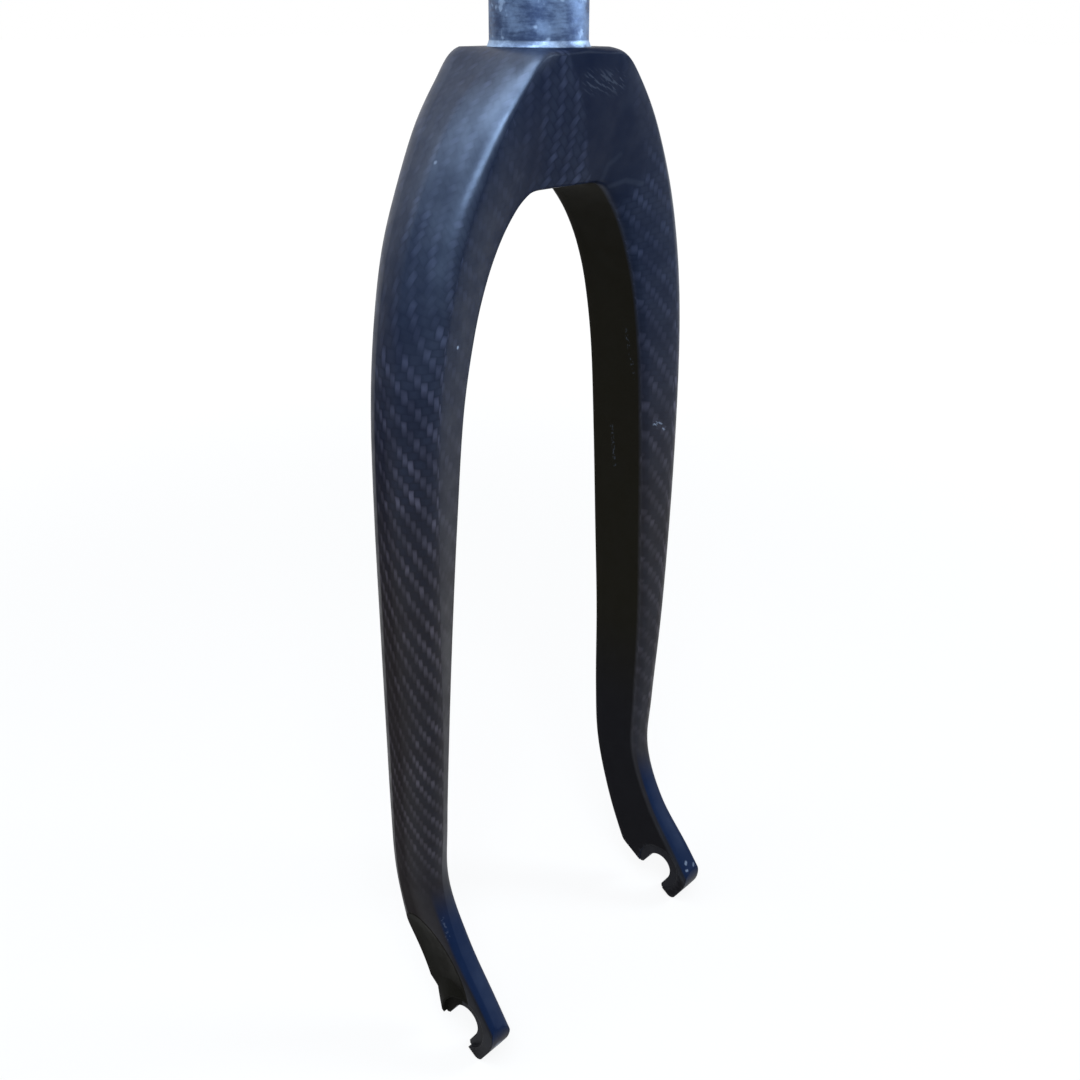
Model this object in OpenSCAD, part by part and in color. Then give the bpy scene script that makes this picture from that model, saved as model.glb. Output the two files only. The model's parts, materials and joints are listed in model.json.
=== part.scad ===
// Rigid bicycle fork for a 20 inch wheel: one moulded carbon crown, legs and
// fork ends, with a straight aluminium steerer tube bonded into the crown.
// The origin is the middle of the crown seat, on the steerer axis.
// Z points up the steerer, the front of the fork faces -Y, and X runs across it.

/* [Steerer] */
// Outside diameter of the steerer tube
steerer_d = 28.6; // [28.2:0.2:29]
// Wall of the steerer tube
steerer_wall = 2.3; // [1.8:0.1:3]
// Length of the steerer tube above the crown seat
steerer_len = 200; // [120:5:260]
// Depth of the steerer tube inside the crown
socket_depth = 24; // [16:1:25]

/* [Wheel] */
// Gap between the seats in the inner faces, which the hub fills
hub_gap = 100; // [98:1:102]
// Height of the crown seat above the axle
axle_to_crown = 302; // [298:1:306]
// Distance of the axle ahead of the steerer axis
rake = 19; // [17.5:0.5:20.5]
// Width of the slot for the axle
slot_w = 10.8; // [9.8:0.2:11.2]
// Angle of the slot, from straight down towards the rear
slot_angle = 34; // [30:1:38]

/* [Crown] */
// Half width of the crown seat, side to side
seat_half = 18.5; // [18:0.1:19]
// Height of the crown from the wheel arch to the seat
crown_h = 38.4; // [37.4:0.2:41.4]

/* [Fork ends] */
// Thickness of each fork end, from its inner seat to its outer rim
end_t = 8.2; // [7.6:0.2:8.8]
// Diameter of the round seats sunk round each axle slot
seat_d = 18; // [16:0.5:19]
// Depth of the seat in the outer face
seat_sink = 1.2; // [0.6:0.2:1.6]
// Depth of the scoop in the outer face, above the slot
scoop_depth = 4; // [2.8:0.2:4.4]

/* [Hidden] */
$fn = 64;
eps = 0.01;

steerer_r = steerer_d / 2;
bore_r = steerer_r - steerer_wall;
foot_r = steerer_r + 0.7;
foot_h = 1.6;
foot_sink = 0.6;
rim_chamfer = 0.6;

// The guides were drawn for these sizes, and follow the ones above
DRAWN_GAP = 50;
DRAWN_DROP = 302;
DRAWN_RAKE = 19;
DRAWN_SEAT = 18.5;
DRAWN_CROWN = 38.4;
DRAWN_END = 8.2;

half_gap = hub_gap / 2;
end_outer = half_gap + end_t;
axle_y = -rake;
axle_z = -axle_to_crown;
slot_r = slot_w / 2;
seat_r = seat_d / 2;
seat_skim = 0.4;
lip_drop = 5.9;
lip_ease = 0.8;
hook_front = 12.5;
hook_r = 2.5;
shoulder_r = 11;
shoulder_up = 1.5;
shoulder_turn = 20;
scoop_y = 4 + DRAWN_RAKE - rake;
scoop_z = axle_z + 5;
scoop_reach = 25;
boss_slope = 1.6;
boss_foot_r = 16.5;
waste = 30;

// Guide curves of one leg, each a short list of [station, values].
// Stations run from the middle of the crown, 0, to below the fork end, 16.
// Inner edge line in front view: [station, x, z]
INNER_LINE = [
    [0, 0, -38.4], [1, 8, -38.4], [2, 14, -38.6], [3, 18, -40.1], [4, 22.5, -44.2],
    [5, 28, -51.6], [6, 33.2, -62], [7, 38, -76], [8, 42.4, -98], [9, 45.4, -130],
    [10, 47.8, -166], [11, 49.6, -200], [12, 50.2, -234], [13, 50.1, -256],
    [14, 49.6, -276], [15, 49.6, -294], [16, 49.6, -318]
];
// Line of the front and rear ridges in front view: [station, x, z]
RIDGE_LINE = [
    [0, 0, 0.4], [1, 9, 0.4], [2, 18, -0.3], [3, 26, -7.2], [4, 36, -19],
    [5, 46, -36], [6, 53.2, -53.5], [7, 58.2, -75], [8, 60.6, -99], [9, 61.2, -130],
    [10, 60.4, -166], [11, 59.2, -200], [12, 58.2, -234], [13, 57.8, -256],
    [14, 57.8, -276], [15, 58, -294], [16, 58.2, -318]
];
// How far ahead of the steerer axis each edge runs in side view:
// [station, inner front edge, front ridge, rear ridge, inner rear edge]
SIDE_LINES = [
    [0, 11.6, 18.4, -18.4, -14], [2, 11.6, 18.4, -18.4, -14], [3, 11.6, 18.2, -18, -14],
    [4, 11.2, 17.4, -17, -13.8], [5, 10.9, 16.2, -15.2, -13.4], [6, 10.6, 15, -14.2, -13.1],
    [7, 10.4, 14, -12.8, -13.4], [8, 9.9, 13.2, -12.2, -14], [9, 9.4, 12.4, -11.8, -14.6],
    [10, 8.6, 11.6, -12.2, -15], [11, 7.9, 10.5, -13, -15], [12, 6.6, 8.2, -13.4, -15],
    [13, 6.6, 7.2, -12.4, -13.4], [14, 14.9, 14.6, -7.6, -7.8],
    [15, 27.1, 28.4, -0.8, -0.8], [16, 43.5, 45.2, 11, 11]
];
// Swell of the outer side past its ridges, swell of the front strip,
// and size of the soft corner at the ridges: [station, side, strip, corner]
SWELL = [
    [0, 0, 2.2, 3], [2, 0, 2.2, 4], [3, 0.6, 2, 5.5], [4, 1.4, 1.6, 6], [6, 2.2, 0.8, 5.5],
    [8, 2.8, 0.5, 4.5], [10, 2.8, 0.4, 4], [12, 2.2, 0.3, 3.5], [13, 1.8, 0.3, 3],
    [14, 0.8, 0.3, 2.4], [16, 0.2, 0.2, 1.6]
];
LAST_STATION = 16;
RINGS_PER_STATION = 4;
INNER_CORNER = 1.8;
CORNER_POINTS = 5;
INNER_CORNER_POINTS = 3;
SIDE_POINTS = 9;
STRIP_POINTS = 3;
// The legs turn into the fork ends below this height, over this length
LEG_END = -234;
END_BLEND = 60;

// Smooth curve through a guide's points, at station s
function slope(g, i, k) =
    i == 0 ? (g[1][k] - g[0][k]) / (g[1][0] - g[0][0])
    : i == len(g) - 1 ? (g[i][k] - g[i-1][k]) / (g[i][0] - g[i-1][0])
    : (g[i+1][k] - g[i-1][k]) / (g[i+1][0] - g[i-1][0]);
function span_at(g, s) = max([for (i = [0 : len(g) - 2]) if (s >= g[i][0]) i]);
function hermite(a, b, da, db, h, t) =
    a * (2*t*t*t - 3*t*t + 1) + b * (3*t*t - 2*t*t*t)
    + da * h * (t*t*t - 2*t*t + t) + db * h * (t*t*t - t*t);
function guide(g, s, k) =
    let (i = span_at(g, s), h = g[i+1][0] - g[i][0], t = (s - g[i][0]) / h)
    hermite(g[i][k], g[i+1][k], slope(g, i, k), slope(g, i+1, k), h, t);

// One corner of the leg's section, from a line in front view and a side line
function fit_x(x, s) = x * (s < 3 ? seat_half / DRAWN_SEAT : half_gap / DRAWN_GAP);
function fit_z(z) = z > -DRAWN_CROWN ? z * crown_h / DRAWN_CROWN
    : -crown_h + (z + DRAWN_CROWN) * (axle_to_crown - crown_h) / (DRAWN_DROP - DRAWN_CROWN);
function end_share(z) = min(1, max(0, (LEG_END - z) / END_BLEND));
function section_corner(line, s, edge, thicker) =
    let (z = guide(line, s, 2), share = end_share(z))
    [
        fit_x(guide(line, s, 1), s) + thicker * share,
        -guide(SIDE_LINES, s, edge) - (rake - DRAWN_RAKE) * share,
        fit_z(z)
    ];

function unit(v) = v / norm(v);
function curve(a, b, c, t) = a * (1-t) * (1-t) + b * 2 * t * (1-t) + c * t * t;
function curve_points(a, b, c, n) = [for (i = [0 : n - 1]) curve(a, b, c, i / (n - 1))];
// Soft corner at p between its neighbours, which starts d away from p
function soft_corner(before, p, after, d, n) =
    curve_points(p + unit(before - p) * d, p, p + unit(after - p) * d, n);
function inside(points) = [for (i = [1 : len(points) - 2]) points[i]];

// The closed section at station s: inner face, front strip, outer side, rear strip
function ring(s) =
    let (
        front_in = section_corner(INNER_LINE, s, 1, 0),
        front_ridge = section_corner(RIDGE_LINE, s, 2, end_t - DRAWN_END),
        rear_ridge = section_corner(RIDGE_LINE, s, 3, end_t - DRAWN_END),
        rear_in = section_corner(INNER_LINE, s, 4, 0),
        side = guide(SWELL, s, 1),
        strip = guide(SWELL, s, 2),
        soft = guide(SWELL, s, 3),
        out = unit(front_ridge + rear_ridge - front_in - rear_in),
        side_mid = (front_ridge + rear_ridge) / 2 + 2 * side * out,
        front_mid = (front_in + front_ridge) / 2 + [0, -2 * strip, 0],
        rear_mid = (rear_in + rear_ridge) / 2 + [0, 2 * strip, 0],
        corner_1 = soft_corner(rear_in, front_in, front_mid, INNER_CORNER, INNER_CORNER_POINTS),
        corner_2 = soft_corner(front_mid, front_ridge, side_mid, soft, CORNER_POINTS),
        corner_3 = soft_corner(side_mid, rear_ridge, rear_mid, soft, CORNER_POINTS),
        corner_4 = soft_corner(rear_mid, rear_in, front_in, INNER_CORNER, INNER_CORNER_POINTS)
    )
    concat(
        corner_1,
        inside(curve_points(corner_1[len(corner_1)-1], front_mid, corner_2[0], STRIP_POINTS + 2)),
        corner_2,
        inside(curve_points(corner_2[len(corner_2)-1], side_mid, corner_3[0], SIDE_POINTS)),
        corner_3,
        inside(curve_points(corner_3[len(corner_3)-1], rear_mid, corner_4[0], STRIP_POINTS + 2)),
        corner_4
    );
function mirrored(points) = [for (p = points) [-p[0], p[1], p[2]]];

// Crown and both legs in one skin, from the end of one leg to the end of the other
module arch_and_legs() {
    steps = LAST_STATION * RINGS_PER_STATION;
    half = [for (i = [0 : steps]) ring(i / RINGS_PER_STATION)];
    rings = concat([for (i = [steps : -1 : 1]) mirrored(half[i])], half);
    n = len(half[0]);
    last = len(rings) - 1;
    polyhedron(
        points = [for (r = rings) each r],
        faces = concat(
            [[for (j = [n - 1 : -1 : 0]) j]],
            [for (i = [0 : last - 1], j = [0 : n - 1]) let (k = (j + 1) % n)
                each [[i*n + j, (i+1)*n + k, (i+1)*n + j], [i*n + j, i*n + k, (i+1)*n + k]]],
            [[for (j = [0 : n - 1]) last*n + j]]
        )
    );
}

// Turns a shape drawn round the axle, ahead and up along the slot, into both fork ends
module across_ends() {
    translate([0, axle_y, axle_z]) rotate([slot_angle, 0, 0]) rotate([90, 0, -90])
        linear_extrude(height = 4 * end_outer, center = true) children();
}

// Waste below the lips, ahead of the hook, and outside its two rounded corners
module end_waste() {
    corner = [hook_front - hook_r, hook_r - lip_drop];
    shoulder = [hook_front - shoulder_r, shoulder_up];
    translate([-waste, -waste - lip_drop]) square([2 * waste, waste]);
    translate([hook_front, -waste]) square([waste, waste + shoulder_up + shoulder_r * 2]);
    difference() {
        translate(corner - [0, hook_r]) square(hook_r);
        translate(corner) circle(hook_r);
    }
    difference() {
        polygon([
            shoulder,
            shoulder + [shoulder_r + 1, 0],
            shoulder + [shoulder_r + 1, shoulder_r],
            shoulder + [sin(shoulder_turn), cos(shoulder_turn)] * (shoulder_r + 4)
        ]);
        translate(shoulder) circle(shoulder_r);
    }
}

// Open slot with a round end at the axle and eased lips at its mouth
module slot_outline() {
    circle(slot_r);
    translate([-slot_r, -waste]) square([slot_w, waste]);
    polygon([
        [-slot_r - lip_ease, -lip_drop - eps], [-slot_r, lip_ease * 1.2 - lip_drop],
        [slot_r, lip_ease * 1.2 - lip_drop], [slot_r + lip_ease, -lip_drop - eps]
    ]);
}

// Round seat sunk in one face of a fork end, for the axle's washer or flange
module axle_seat(x, sink) {
    translate([x, axle_y, axle_z]) rotate([0, 90, 0]) cylinder(h = 2 * sink, r = seat_r, center = true);
}

// Shallow dish in the outer face, which leaves a raised boss round the slot
module scoop() {
    dish_r = (scoop_reach * scoop_reach + scoop_depth * scoop_depth) / (2 * scoop_depth);
    difference() {
        translate([end_outer - scoop_depth + dish_r, scoop_y, scoop_z]) sphere(dish_r);
        translate([end_outer - scoop_depth, axle_y, axle_z]) rotate([0, 90, 0])
            cylinder(h = scoop_depth + 1, r1 = boss_foot_r, r2 = boss_foot_r - boss_slope * (scoop_depth + 1));
    }
}

// Moulded carbon body: crown, legs and fork ends in one piece
module fork_body() {
    color([0.09, 0.1, 0.12]) difference() {
        arch_and_legs();
        translate([0, 0, -socket_depth]) cylinder(h = socket_depth + 1, r = steerer_r);
        translate([0, 0, -foot_sink]) cylinder(h = foot_sink + 1, r = foot_r);
        translate([-waste, -waste, 0]) cube(2 * waste);
        across_ends() end_waste();
        across_ends() slot_outline();
        for (side = [-1, 1]) {
            axle_seat(side * (half_gap - seat_skim), seat_skim);
            axle_seat(side * end_outer, seat_sink);
        }
        scoop();
        mirror([1, 0, 0]) scoop();
    }
}

// Aluminium tube with a small flared foot let into the crown seat, cut square on top
module steerer_tube() {
    color([0.62, 0.66, 0.72]) difference() {
        union() {
            translate([0, 0, -socket_depth]) cylinder(h = socket_depth + steerer_len, r = steerer_r);
            cylinder(h = foot_h, r1 = foot_r, r2 = steerer_r);
            translate([0, 0, -foot_sink]) cylinder(h = foot_sink, r = foot_r);
        }
        translate([0, 0, -socket_depth - 1]) cylinder(h = socket_depth + steerer_len + 2, r = bore_r);
        translate([0, 0, steerer_len - rim_chamfer])
            cylinder(h = rim_chamfer + eps, r1 = bore_r, r2 = bore_r + rim_chamfer);
    }
}

fork_body();
steerer_tube();
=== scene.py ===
import json
import math
import bmesh
import bpy
import numpy as np
from mathutils import Matrix, Vector

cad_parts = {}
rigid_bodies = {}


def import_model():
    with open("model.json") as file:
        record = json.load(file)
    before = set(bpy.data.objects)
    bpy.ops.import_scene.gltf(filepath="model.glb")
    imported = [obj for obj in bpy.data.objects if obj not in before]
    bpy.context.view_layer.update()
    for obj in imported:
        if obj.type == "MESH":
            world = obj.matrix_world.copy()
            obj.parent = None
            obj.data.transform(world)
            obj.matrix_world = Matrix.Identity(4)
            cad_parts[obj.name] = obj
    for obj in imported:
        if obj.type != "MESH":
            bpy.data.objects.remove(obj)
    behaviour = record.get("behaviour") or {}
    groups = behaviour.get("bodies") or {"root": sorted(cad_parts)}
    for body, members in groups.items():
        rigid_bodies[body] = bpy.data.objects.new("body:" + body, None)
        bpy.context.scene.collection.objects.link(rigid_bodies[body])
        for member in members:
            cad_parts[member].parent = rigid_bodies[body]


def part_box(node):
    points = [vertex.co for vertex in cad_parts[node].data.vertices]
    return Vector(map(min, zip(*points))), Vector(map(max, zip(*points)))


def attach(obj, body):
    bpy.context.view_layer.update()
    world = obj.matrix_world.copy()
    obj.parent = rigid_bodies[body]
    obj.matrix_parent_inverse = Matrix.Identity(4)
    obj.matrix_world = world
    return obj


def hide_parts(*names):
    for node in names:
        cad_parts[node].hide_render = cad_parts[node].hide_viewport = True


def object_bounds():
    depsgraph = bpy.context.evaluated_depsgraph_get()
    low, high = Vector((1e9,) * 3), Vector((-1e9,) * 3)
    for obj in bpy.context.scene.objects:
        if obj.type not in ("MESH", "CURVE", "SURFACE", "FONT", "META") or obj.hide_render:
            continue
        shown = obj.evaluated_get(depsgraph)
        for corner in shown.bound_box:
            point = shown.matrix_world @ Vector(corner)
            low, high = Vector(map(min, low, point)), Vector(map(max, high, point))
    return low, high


# Rigid bicycle fork: moulded carbon crown, legs and ends, with an aluminium steerer tube.
# The frame's origin is the middle of the crown seat, Z runs up the steerer, the front is -Y.

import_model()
cadLow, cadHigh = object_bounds()
mm = 0.001
print("frame loaded, CAD box", [round(v / mm, 1) for v in (*cadLow, *cadHigh)])


# Node helpers

def newNode(tree, kind, **settings):
    node = tree.nodes.new(kind)
    for key, value in settings.items():
        setattr(node, key, value)
    return node


def feed(tree, node, key, value):
    if isinstance(value, bpy.types.NodeSocket):
        tree.links.new(value, node.inputs[key])
    else:
        node.inputs[key].default_value = value


def calc(tree, operation, a, b=None, c=None):
    node = newNode(tree, "ShaderNodeMath", operation=operation)
    for i, value in enumerate((a, b, c)):
        if value is not None:
            feed(tree, node, i, value)
    return node.outputs[0]


def product(tree, first, *others):
    for other in others:
        first = calc(tree, "MULTIPLY", first, other)
    return first


def oneMinus(tree, value):
    return calc(tree, "SUBTRACT", 1.0, value)


def mapRange(tree, value, low, high, toLow=0.0, toHigh=1.0):
    node = newNode(tree, "ShaderNodeMapRange", interpolation_type="SMOOTHSTEP")
    for i, v in enumerate((value, low, high, toLow, toHigh)):
        feed(tree, node, i, v)
    return node.outputs[0]


def vectorMath(tree, operation, a, b=None):
    node = newNode(tree, "ShaderNodeVectorMath", operation=operation)
    feed(tree, node, 0, a)
    if b is not None:
        feed(tree, node, 1, b)
    isNumber = operation in ("DISTANCE", "DOT_PRODUCT", "LENGTH")
    return node.outputs["Value" if isNumber else "Vector"]


def splitAxes(tree, vector):
    node = newNode(tree, "ShaderNodeSeparateXYZ")
    feed(tree, node, 0, vector)
    return node.outputs


def joinAxes(tree, across, up):
    node = newNode(tree, "ShaderNodeCombineXYZ")
    feed(tree, node, 0, across)
    feed(tree, node, 1, up)
    return node.outputs[0]


def noise(tree, vector, scale, detail=3.0, roughness=0.5):
    node = newNode(tree, "ShaderNodeTexNoise")
    feed(tree, node, "Vector", vector)
    feed(tree, node, "Scale", scale)
    feed(tree, node, "Detail", detail)
    feed(tree, node, "Roughness", roughness)
    return node.outputs["Fac"]


def stretch(tree, vector, scale):
    node = newNode(tree, "ShaderNodeMapping")
    feed(tree, node, "Vector", vector)
    feed(tree, node, "Scale", scale)
    return node.outputs[0]


def blendColour(tree, factor, a, b):
    node = newNode(tree, "ShaderNodeMix", data_type="RGBA")
    feed(tree, node, 0, factor)
    feed(tree, node, 6, a)
    feed(tree, node, 7, b)
    return node.outputs[2]


def rgb(red, green, blue):
    return (red, green, blue, 1.0)


def pointLevel(tree, name):
    return newNode(tree, "ShaderNodeAttribute", attribute_name=name).outputs["Fac"]


def objectPlace(tree):
    return newNode(tree, "ShaderNodeTexCoord").outputs["Object"]


def addBump(tree, shader, height, strength, distance):
    bump = newNode(tree, "ShaderNodeBump")
    feed(tree, bump, "Strength", strength)
    feed(tree, bump, "Distance", distance)
    feed(tree, bump, "Height", height)
    feed(tree, shader, "Normal", bump.outputs[0])
    return bump


def startMaterial(name):
    material = bpy.data.materials.new(name)
    material.use_nodes = True
    tree = material.node_tree
    return material, tree, tree.nodes["Principled BSDF"]


def addObject(name, data):
    made = bpy.data.objects.new(name, data)
    bpy.context.scene.collection.objects.link(made)
    return made


def addMesh(name, points, edges, faces):
    mesh = bpy.data.meshes.new(name)
    mesh.from_pydata([tuple(p) for p in points], edges, faces)
    mesh.update()
    return addObject(name, mesh)


# Leg guides in millimetres, from the crown's middle, station 0, to below the fork end, station 16
leg = {
    "innerLine": [
        (0, 0, -38.4), (1, 8, -38.4), (2, 14, -38.6), (3, 18, -40.1), (4, 22.5, -44.2),
        (5, 28, -51.6), (6, 33.2, -62), (7, 38, -76), (8, 42.4, -98), (9, 45.4, -130),
        (10, 47.8, -166), (11, 49.6, -200), (12, 50.2, -234), (13, 50.1, -256),
        (14, 49.6, -276), (15, 49.6, -294), (16, 49.6, -318),
    ],
    "ridgeLine": [
        (0, 0, 0.4), (1, 9, 0.4), (2, 18, -0.3), (3, 26, -7.2), (4, 36, -19),
        (5, 46, -36), (6, 53.2, -53.5), (7, 58.2, -75), (8, 60.6, -99), (9, 61.2, -130),
        (10, 60.4, -166), (11, 59.2, -200), (12, 58.2, -234), (13, 57.8, -256),
        (14, 57.8, -276), (15, 58, -294), (16, 58.2, -318),
    ],
    # How far ahead: inner front edge, front ridge, rear ridge, inner rear edge
    "sideLines": [
        (0, 11.6, 18.4, -18.4, -14), (2, 11.6, 18.4, -18.4, -14), (3, 11.6, 18.2, -18, -14),
        (4, 11.2, 17.4, -17, -13.8), (5, 10.9, 16.2, -15.2, -13.4), (6, 10.6, 15, -14.2, -13.1),
        (7, 10.4, 14, -12.8, -13.4), (8, 9.9, 13.2, -12.2, -14), (9, 9.4, 12.4, -11.8, -14.6),
        (10, 8.6, 11.6, -12.2, -15), (11, 7.9, 10.5, -13, -15), (12, 6.6, 8.2, -13.4, -15),
        (13, 6.6, 7.2, -12.4, -13.4), (14, 14.9, 14.6, -7.6, -7.8),
        (15, 27.1, 28.4, -0.8, -0.8), (16, 43.5, 45.2, 11, 11),
    ],
    # Swell of the outer side, swell of the strips, then the soft corners: the rear ridge's size,
    # the front ridge's reach over the strip and its longer reach over the side
    "swell": [
        (0, 0, 2.2, 3, 2, 3), (2, 0, 2.2, 4.5, 2.5, 14), (3, 0.6, 2, 7, 3, 15),
        (4, 1.4, 1.6, 8, 4, 15), (6, 2.1, 0.8, 7.5, 5, 12), (8, 2.5, 0.5, 6, 5, 8),
        (10, 2.5, 0.4, 5, 4.5, 5), (12, 2.2, 0.3, 4, 4, 4), (13, 1.8, 0.3, 3.2, 3.2, 3.2),
        (14, 0.8, 0.3, 2.4, 2.4, 2.4), (16, 0.2, 0.2, 1.6, 1.6, 1.6),
    ],
    "lastStation": 16,
    "ringsPerStation": 18,
    "innerCorner": 1.8,
    "innerCornerPoints": 5,
    "cornerPoints": 13,
    "stripPoints": 10,
    "sidePoints": 20,
    "innerFacePoints": 12,
}


def guideSlope(g, i, k):
    a, b = max(i - 1, 0), min(i + 1, len(g) - 1)
    return (g[b][k] - g[a][k]) / (g[b][0] - g[a][0])


def guideAt(g, s, k):
    # Smooth curve through column k of a guide, at station s
    i = max(n for n in range(len(g) - 1) if s >= g[n][0])
    h = g[i + 1][0] - g[i][0]
    t = (s - g[i][0]) / h
    a, b = g[i][k], g[i + 1][k]
    da, db = guideSlope(g, i, k), guideSlope(g, i + 1, k)
    return (a * (2 * t**3 - 3 * t**2 + 1) + b * (3 * t**2 - 2 * t**3)
            + da * h * (t**3 - 2 * t**2 + t) + db * h * (t**3 - t**2))


def unit(v):
    return v / np.linalg.norm(v)


def arcPoints(a, b, c, count):
    return [a * (1 - t)**2 + b * 2 * t * (1 - t) + c * t * t for t in np.linspace(0, 1, count)]


def softCorner(before, p, after, size, reach, count):
    return arcPoints(p + unit(before - p) * size, p, p + unit(after - p) * reach, count)


def legRing(s):
    # One ring round the leg, and for each point its face: 0 front, 1 side, 2 rear, 3 inner
    inner, ridge, side = leg["innerLine"], leg["ridgeLine"], leg["sideLines"]
    frontIn = np.array([guideAt(inner, s, 1), -guideAt(side, s, 1), guideAt(inner, s, 2)])
    frontRidge = np.array([guideAt(ridge, s, 1), -guideAt(side, s, 2), guideAt(ridge, s, 2)])
    rearRidge = np.array([guideAt(ridge, s, 1), -guideAt(side, s, 3), guideAt(ridge, s, 2)])
    rearIn = np.array([guideAt(inner, s, 1), -guideAt(side, s, 4), guideAt(inner, s, 2)])
    swellSide, swellStrip, rear, front, reach = (guideAt(leg["swell"], s, k) for k in range(1, 6))
    out = unit(frontRidge + rearRidge - frontIn - rearIn)
    sideMid = (frontRidge + rearRidge) / 2 + 2 * swellSide * out
    frontMid = (frontIn + frontRidge) / 2 + np.array([0, -2 * swellStrip, 0])
    rearMid = (rearIn + rearRidge) / 2 + np.array([0, 2 * swellStrip, 0])
    small, n = leg["innerCorner"], leg["innerCornerPoints"]
    corners = [
        softCorner(rearIn, frontIn, frontMid, small, small, n),
        softCorner(frontMid, frontRidge, sideMid, front, reach, leg["cornerPoints"]),
        softCorner(sideMid, rearRidge, rearMid, rear, rear, leg["cornerPoints"]),
        softCorner(rearMid, rearIn, frontIn, small, small, n),
    ]
    spans = [
        (corners[0], frontMid, corners[1], leg["stripPoints"]),
        (corners[1], sideMid, corners[2], leg["sidePoints"]),
        (corners[2], rearMid, corners[3], leg["stripPoints"]),
        (corners[3], (rearIn + frontIn) / 2, corners[0], leg["innerFacePoints"]),
    ]
    points, face = [], []
    for i, (near, middle, far, count) in enumerate(spans):
        points += near + arcPoints(near[-1], middle, far[0], count + 2)[1:-1]
        face += [i] * (len(near) + count)
    return np.array(points), np.array(face)


def sweepLegs():
    # Rings from the left fork end over the crown to the right one, their stations and the faces
    steps = leg["lastStation"] * leg["ringsPerStation"]
    stations = [i / leg["ringsPerStation"] for i in range(steps + 1)]
    made = [legRing(s) for s in stations]
    right = np.array([points for points, _ in made])
    left = right[1:][::-1] * [-1, 1, 1]
    return np.concatenate([left, right]), stations[1:][::-1] + stations, made[0][1]


# The cloth over the leg's outer and inner faces, in tows per millimetre: height, then how fast
# its U grows round the leg and up along it, and V the same. By the crown it lies on the bias.
sideCloth = [
    (20, 0.42, -0.42, 0.42, 0.42), (-50, 0.42, -0.42, 0.42, 0.42), (-66, 0.50, -0.20, 0.20, 0.46),
    (-80, 0.50, 0, 0, 0.44), (-91, 0.54, 0, 0, 0.46), (-105, 0.575, 0, 0, 0.445),
    (-139, 0.71, 0, 0, 0.435), (-180, 0.80, 0, 0, 0.474), (-224, 0.77, 0, 0, 0.587),
    (-340, 0.77, 0, 0, 0.6),
]

# The cloth over the front and rear strips: height, width of a tow, tilt in degrees
stripCloth = [
    (20, 2.1, 8), (-58, 2.07, 6), (-79, 1.98, -3), (-100, 2.2, -7), (-121, 2.15, -7),
    (-143, 1.89, -10), (-166, 1.83, -9), (-190, 1.73, -11), (-228, 1.65, -11), (-340, 1.6, -11),
]

# The cloth over the crown's front and rear, then how clearly the weave shows: pairs of a place in
# millimetres and a level, across the strips from the near leg to the far one, and by height
weave = {
    "patchTow": 2.4,
    "patchTilt": 45.0,
    "patchEdge": 3.6,       # station where that cloth ends
    "acrossStrips": [(-45, 0.3), (-20, 0.3), (-12, 0.8), (5, 0.9), (30, 0.7), (45, 0.45)],
    "downStrips": [(-200, 0.7), (-140, 1)],
    "downSides": [(-160, 0.7), (-125, 1), (-75, 1), (-45, 0.65)],
    # Painted light: the weave's light tows fade towards the rear ridge, away from where the highlight
    # falls
    "roundSides": [(0.25, 1), (0.875, 0.5)],        # from the front ridge, 0, to the rear one, 1
    "atTurn": [(-80, 1), (-62, 0.5), (-44, 1)],     # where the sides' cloth turns to the bias
    "rearStrip": 0.5,
    "innerFace": 0.2,
    "fade": [(-262, 0), (-236, 1)],
    # The twill in tows, its drift in tows, how much a tow's sides fall, the painted highlight on each
    # float's upper end, and the shades of single tows and of the haze over the cloth
    "repeat": 4.0,
    "floatLength": 2.0,
    "drift": 0.9,
    "sideFall": 0.65,
    "paintedFloatHighlight": (0.45, 1.0),
    "towShade": (0.45, 0.7),
    "haze": (0.45, 1.2),
}

# How glossy the clear coat is, in the same form: rich in resin on the crown's sides, matt inside
coat = {
    "acrossStrips": [(-60, 0.42), (-40, 0.42), (-20, 0.12), (0, 0.12), (30, 0.24), (60, 0.36)],
    "downStrips": [(-230, 1.2), (-150, 1)],
    "roundSides": [(0, 0.24), (0.3, 0.22), (0.55, 0)],
    "downSides": [(-200, 0.85), (-120, 1)],
    "rearStrip": 0.2,
    "innerFace": 0.03,
    "legSides": 0.03,
    # On the crown: a start and a length in height, then the same in distance from the middle
    "crownSides": 0.62,
    "crownSidesReach": ((-105, 65), (12, 6)),
    "crownRidge": 1.2,
    "crownRidgeReach": ((-90, 85), (10, 6)),
    # How much the edge of the crown's flat top loses, and where
    "flatTop": 0.8,
    "flatTopHeight": (-7, 4),
    "flatTopAcross": [(-19, 0), (-13, 1), (24, 1), (34, 0)],
}


def tableColumn(rows, z, k):
    # One column of a cloth table at the heights z
    order = rows[::-1]
    return np.interp(z, [r[0] for r in order], [r[k] for r in order])


def levelAt(pairs, place):
    return np.interp(place, [p for p, _ in pairs], [level for _, level in pairs])


def sumDown(rate, steps):
    # Running total of a rate, taken downwards over the given step lengths
    return np.concatenate([[0], -np.cumsum((rate[1:] + rate[:-1]) / 2 * steps)])


def stripMap(x, z, side, facing):
    heights = np.arange(20, -341, -1.0)
    turn = np.radians(tableColumn(stripCloth, heights, 2))
    tow = tableColumn(stripCloth, heights, 1)
    total = [np.interp(-z, -heights, sumDown(f(turn) / tow, np.ones(len(heights) - 1)))
             for f in (np.sin, np.cos)]
    across = (x - 50 * side) * facing / tableColumn(stripCloth, z, 1)
    turn = np.radians(tableColumn(stripCloth, z, 2))
    return np.stack([across * np.cos(turn) + total[0], total[1] - across * np.sin(turn)], axis=-1)


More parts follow.
